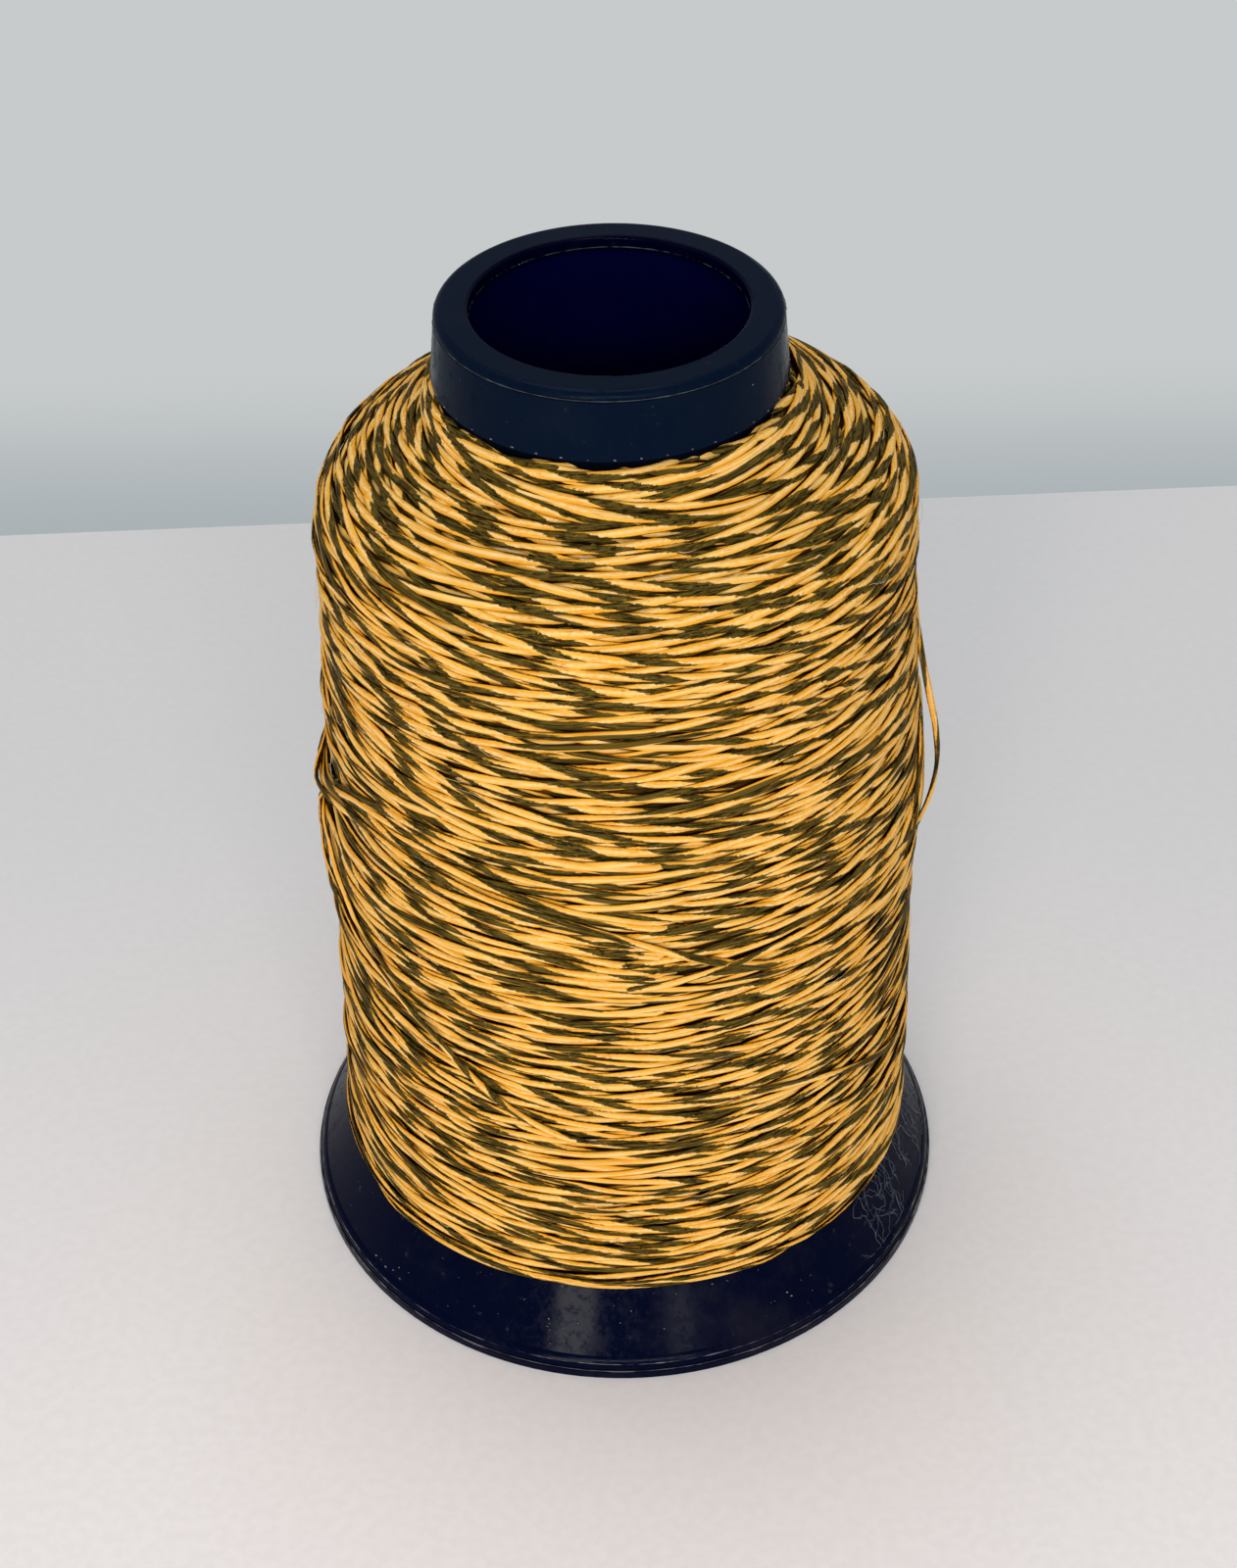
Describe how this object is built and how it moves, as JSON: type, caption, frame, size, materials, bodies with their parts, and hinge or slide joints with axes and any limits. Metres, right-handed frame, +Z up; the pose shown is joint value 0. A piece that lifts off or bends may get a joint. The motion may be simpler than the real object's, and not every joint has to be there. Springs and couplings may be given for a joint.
{
  "type": "thread spool",
  "caption": "Upright king spool of coarse bicoloured thread: tapered tube on a flared dish base, cap ring with a central bore, crowned thread package with a slack strand.",
  "frame": {"origin": "centre of the base's foot ring, on the surface that the spool stands on", "axes": "+Z up along the spool's axis from the foot ring to the cap ring; -Y faces the viewer of the picture and +X is at the viewer's right"},
  "size_m": [0.07, 0.07, 0.1072],
  "materials": {
    "black_plastic": "glossy moulded, fine scuffs",
    "inner_thread": "waxy multifilament, golden and dark olive-brown",
    "outer_thread": "waxy multifilament, golden and dark olive-brown"
  },
  "bodies": {
    "root": {"barrel": "black_plastic", "base_skirt": "black_plastic", "top_collar": "black_plastic", "thread_core": "inner_thread", "thread_turns": "outer_thread", "loose_loop": "outer_thread"}
  },
  "joints": []
}
